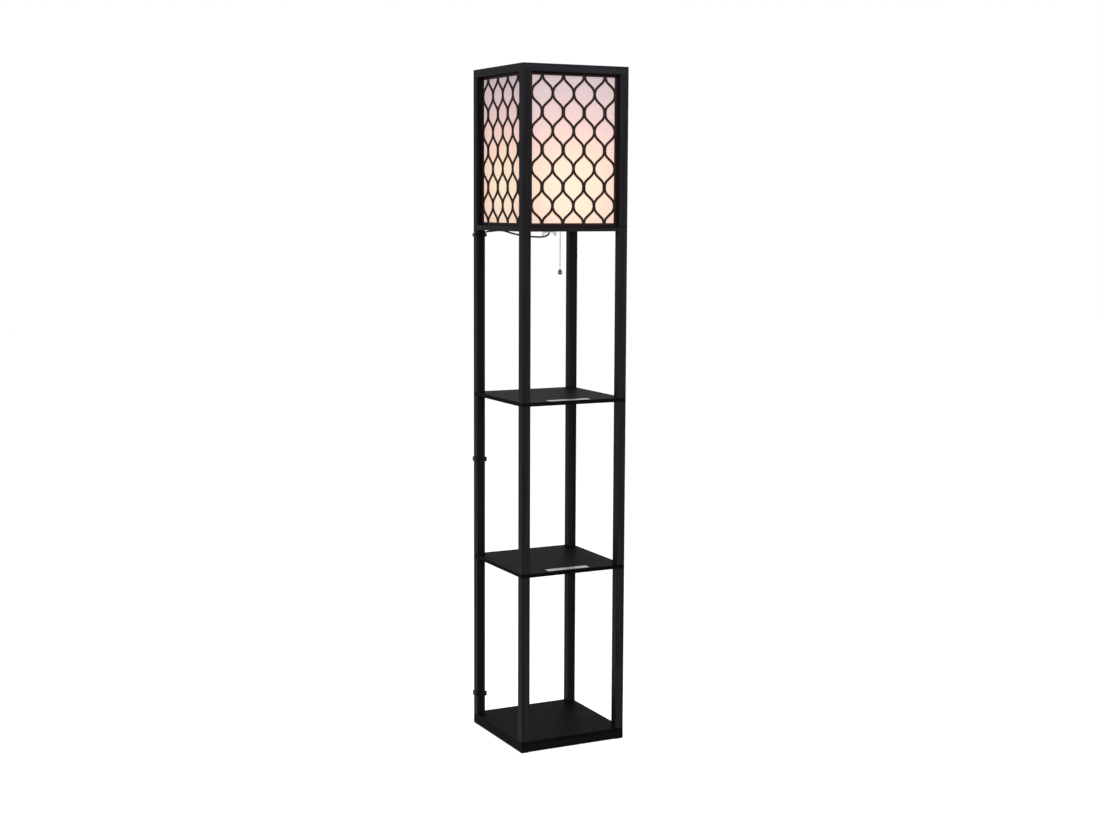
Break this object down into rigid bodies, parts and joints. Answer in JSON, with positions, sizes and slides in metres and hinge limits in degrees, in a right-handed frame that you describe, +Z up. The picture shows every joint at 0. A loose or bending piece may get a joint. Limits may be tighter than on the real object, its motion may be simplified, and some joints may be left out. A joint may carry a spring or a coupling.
{
  "type": "shelf floor lamp",
  "caption": "Square tower floor lamp: posts carry open shelves under a lattice shade with a lit liner, pull chain and rear cord.",
  "frame": {"origin": "middle of the footprint, on the floor under the felt pads", "axes": "+Z up along the posts, -Y out of the front face, +Y to the rear where the cord runs down, +X to the right seen from the front"},
  "size_m": [0.2774, 0.3156, 1.6],
  "materials": {
    "black_wood": "black foil on board, satin",
    "lattice_board": "black-brown painted board, matt",
    "shade_fabric": "white woven liner",
    "zinc_steel": "zinc plated",
    "plain_dowel": "plain beech",
    "socket_plastic": "black moulded phenolic",
    "socket_core": "glazed off-white insulator",
    "screw_shell_brass": "thin drawn shell",
    "bulb_cap": "rolled thread",
    "bulb_glass": "frosted",
    "chain_steel": "nickel plated",
    "knob": "black moulded",
    "clip_plastic": "black moulded",
    "cord_jacket": "black vinyl jacket",
    "tie_plastic": "black strap",
    "plug_vinyl": "black moulded vinyl",
    "blade_brass": "folded brass",
    "pale_plastic": "pale translucent",
    "felt": "black felt",
    "strip_film": "plain pale film"
  },
  "bodies": {
    "tower": {"base_board": "black_wood", "base_frame": "black_wood", "base_pads": "felt", "base_screws": "zinc_steel", "blank_strips": "strip_film", "bulb_base": "bulb_cap", "bulb_globe": "bulb_glass", "chain_mouth": "socket_plastic", "clip_bottom": "clip_plastic", "clip_middle": "clip_plastic", "clip_top": "clip_plastic", "cord_hank": "cord_jacket", "cord_stretch": "cord_jacket", "crossbar": "black_wood", "crossbar_dowels": "plain_dowel", "hank_tie": "tie_plastic", "lattice_front": "lattice_board", "lattice_left": "lattice_board", "lattice_rear": "lattice_board", "lattice_right": "lattice_board", "liner_front": "shade_fabric", "liner_left": "shade_fabric", "liner_rear": "shade_fabric", "liner_right": "shade_fabric", "plug_blades": "blade_brass", "plug_body": "plug_vinyl", "post_bottom_front_left": "black_wood", "post_bottom_front_right": "black_wood", "post_bottom_rear_left": "black_wood", "post_bottom_rear_right": "black_wood", "post_middle_front_left": "black_wood", "post_middle_front_right": "black_wood", "post_middle_rear_left": "black_wood", "post_middle_rear_right": "black_wood", "post_top_front_left": "black_wood", "post_top_front_right": "black_wood", "post_top_rear_left": "black_wood", "post_top_rear_right": "black_wood", "screw_shell": "screw_shell_brass", "shade_post_front_left": "black_wood", "shade_post_front_right": "black_wood", "shade_post_rear_left": "black_wood", "shade_post_rear_right": "black_wood", "shade_ring": "black_wood", "shelf_lower": "black_wood", "shelf_upper": "black_wood", "socket_cap": "socket_plastic", "socket_core": "socket_core", "socket_shell": "socket_plastic", "studs_ring": "zinc_steel", "studs_shelf_lower": "zinc_steel", "studs_shelf_upper": "zinc_steel", "studs_top": "zinc_steel", "threaded_nipple": "zinc_steel", "top_frame": "black_wood", "wing_nut": "pale_plastic"},
    "switch_stem": {"pull_stem": "chain_steel"},
    "chain_link": {"chain_coupling": "chain_steel"},
    "chain": {"pull_chain": "chain_steel", "chain_knob": "knob"}
  },
  "joints": [
    {"name": "switch_pull", "type": "slide", "parent": "tower", "child": "switch_stem", "axis": [0, 0, -1], "range_m": [0, 0.008], "stiffness_N_per_m": 400},
    {"name": "chain_swing_front", "type": "hinge", "parent": "switch_stem", "child": "chain_link", "pos_m": [0.0154, -0.02667, 1.2333], "axis": [1, 0, 0], "range_deg": [-20, 20]},
    {"name": "chain_swing_side", "type": "hinge", "parent": "chain_link", "child": "chain", "pos_m": [0.0154, -0.02667, 1.2333], "axis": [0, 1, 0], "range_deg": [-20, 20]}
  ]
}
